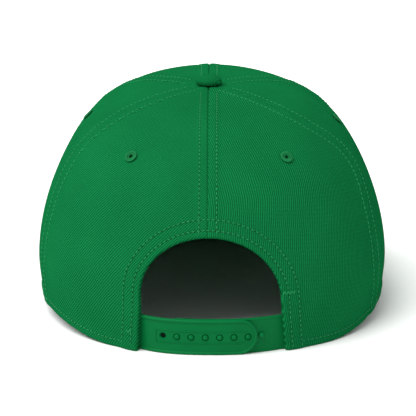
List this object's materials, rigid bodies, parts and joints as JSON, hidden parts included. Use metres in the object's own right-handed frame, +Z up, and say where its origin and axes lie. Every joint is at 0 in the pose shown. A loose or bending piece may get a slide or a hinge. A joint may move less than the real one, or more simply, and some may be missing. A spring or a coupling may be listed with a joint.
{
  "type": "snapback cap",
  "caption": "Twill cap with a structured panelled crown, covered button, stitched eyelets, flat visor, sweatband and a plastic snap strap across an open arch at the back.",
  "frame": {"origin": "on the table, below the middle of the whole cap's outer box", "axes": "+Z up, +Y from the back strap towards the visor, +X towards the wearer's right hand"},
  "size_m": [0.181, 0.2654, 0.1127],
  "materials": {
    "twill": "matte cotton twill, green",
    "thread": "green embroidery thread",
    "band_cloth": "matte dark woven band",
    "strap_plastic": "satin moulded green plastic"
  },
  "bodies": {
    "root": {"panel_front_right": "twill", "panel_side_right": "twill", "panel_back_right": "twill", "panel_back_left": "twill", "panel_side_left": "twill", "panel_front_left": "twill", "eyelet_front_right": "thread", "eyelet_side_right": "thread", "eyelet_back_right": "thread", "eyelet_back_left": "thread", "eyelet_side_left": "thread", "eyelet_front_left": "thread", "button": "twill", "visor": "twill", "sweatband": "band_cloth", "strap_left": "strap_plastic", "strap_right": "strap_plastic"}
  },
  "joints": []
}
